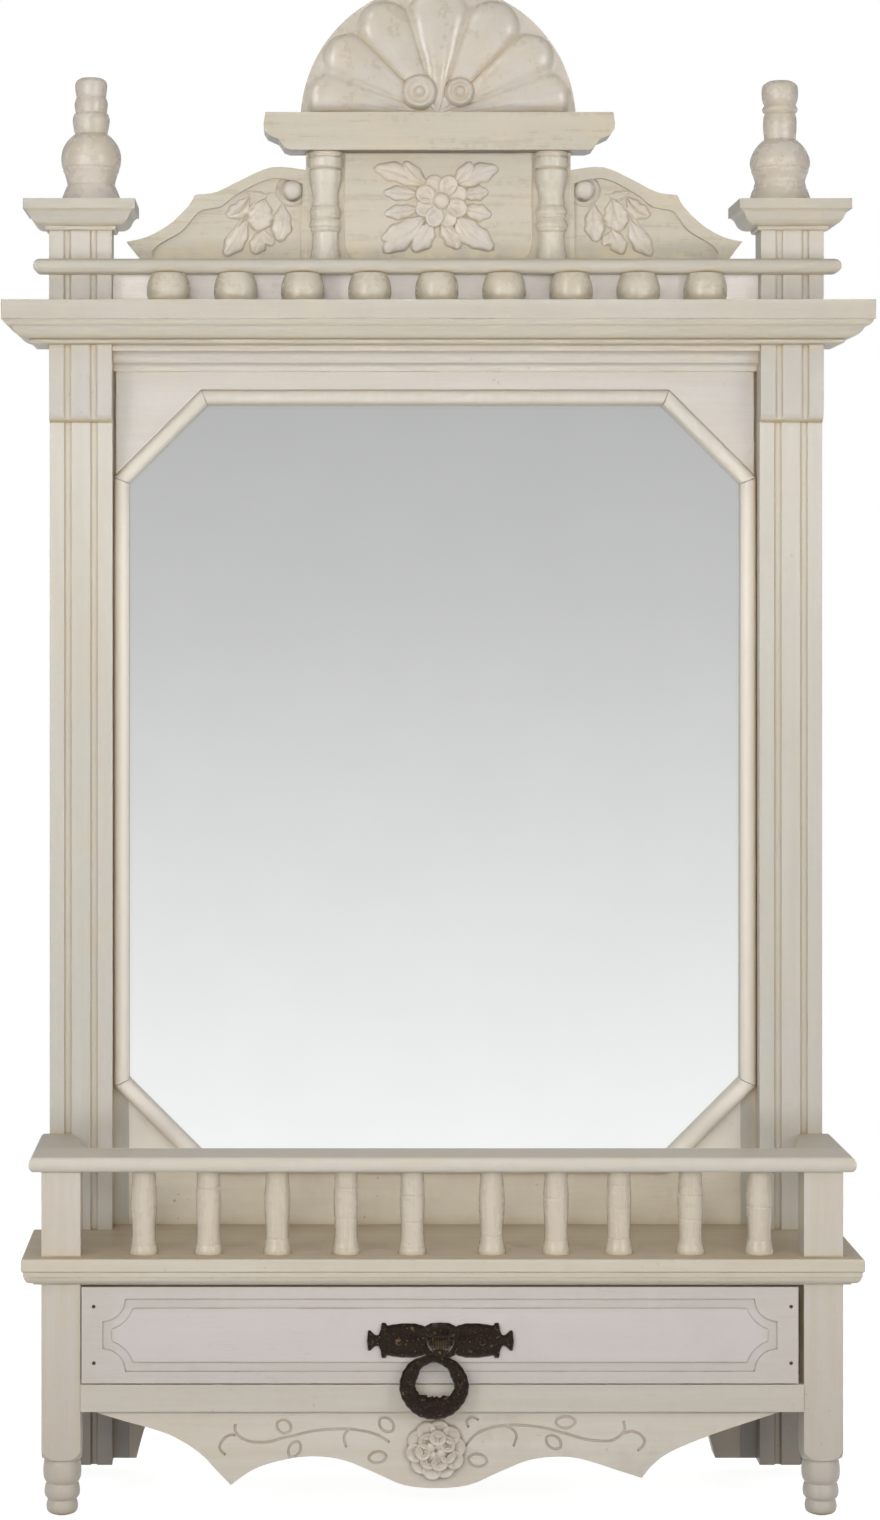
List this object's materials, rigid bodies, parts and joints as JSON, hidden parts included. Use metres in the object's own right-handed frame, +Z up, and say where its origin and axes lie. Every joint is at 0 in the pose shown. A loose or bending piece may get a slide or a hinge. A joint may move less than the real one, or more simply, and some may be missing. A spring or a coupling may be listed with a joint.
{
  "type": "wall mirror with shelf and drawer",
  "caption": "Painted wooden wall mirror with an octagonal glass, moulded stiles, cornice, pinnacles and carved shell crest over a spindle gallery shelf with a drawer.",
  "frame": {"origin": "on the wall plane, on the centre line, at the lower end of the frame", "axes": "+Z up, +X to the right as seen from the front, -Y out of the wall towards the viewer"},
  "size_m": [0.62, 0.1572, 1.0786],
  "materials": {
    "cream_paint": "satin",
    "turned_paint": "satin",
    "carved_paint": "satin",
    "pale_paint": "satin",
    "bare_wood": "matte",
    "hardboard": "matte",
    "mirror_glass": "polished",
    "dark_bronze": "satin",
    "steel": "satin"
  },
  "bodies": {
    "frame": {"left_side_board": "cream_paint", "right_side_board": "cream_paint", "head_board": "cream_paint", "foot_board": "cream_paint", "corner_spandrels": "cream_paint", "opening_bead": "cream_paint", "mirror_glass": "mirror_glass", "mirror_back_panel": "hardboard", "back_panel_blocks": "bare_wood", "left_stile": "cream_paint", "right_stile": "cream_paint", "capital_blocks": "cream_paint", "frieze_strip": "cream_paint", "cove_moulding": "cream_paint", "cornice_core": "cream_paint", "cornice_front": "cream_paint", "cornice_returns": "cream_paint", "cornice_buns": "turned_paint", "top_rail": "cream_paint", "pinnacle_posts": "cream_paint", "pinnacle_caps": "cream_paint", "finials": "turned_paint", "crest_base_board": "cream_paint", "crest_panel": "cream_paint", "crest_columns": "turned_paint", "crest_flower": "carved_paint", "left_crest_wing": "carved_paint", "right_crest_wing": "carved_paint", "crest_plate": "cream_paint", "crest_shell": "carved_paint", "shell_scrolls": "carved_paint", "shelf_board": "cream_paint", "under_shelf_board": "cream_paint", "gallery_posts": "cream_paint", "gallery_front_rail": "cream_paint", "gallery_side_rails": "cream_paint", "gallery_spindles": "turned_paint", "left_leg": "pale_paint", "right_leg": "pale_paint", "side_panels": "cream_paint", "drawer_runners": "bare_wood", "drawer_rail": "pale_paint", "apron": "carved_paint", "apron_rosette": "carved_paint", "hanger_plates": "steel", "hanger_screws": "steel"},
    "drawer": {"drawer_front": "pale_paint", "drawer_sides": "bare_wood", "drawer_back": "bare_wood", "drawer_bottom": "hardboard", "drawer_nails": "steel", "handle_plate": "dark_bronze", "handle_screws": "dark_bronze", "bail_pin": "dark_bronze"},
    "bail": {"bail": "dark_bronze"}
  },
  "joints": [
    {"name": "drawer_slide", "type": "slide", "parent": "frame", "child": "drawer", "axis": [0, -1, 0], "range_m": [0, 0.06]},
    {"name": "bail_swing", "type": "hinge", "parent": "drawer", "child": "bail", "pos_m": [-0.0015, -0.152, 0.11215], "axis": [-1, 0, 0], "range_deg": [0, 100]}
  ]
}
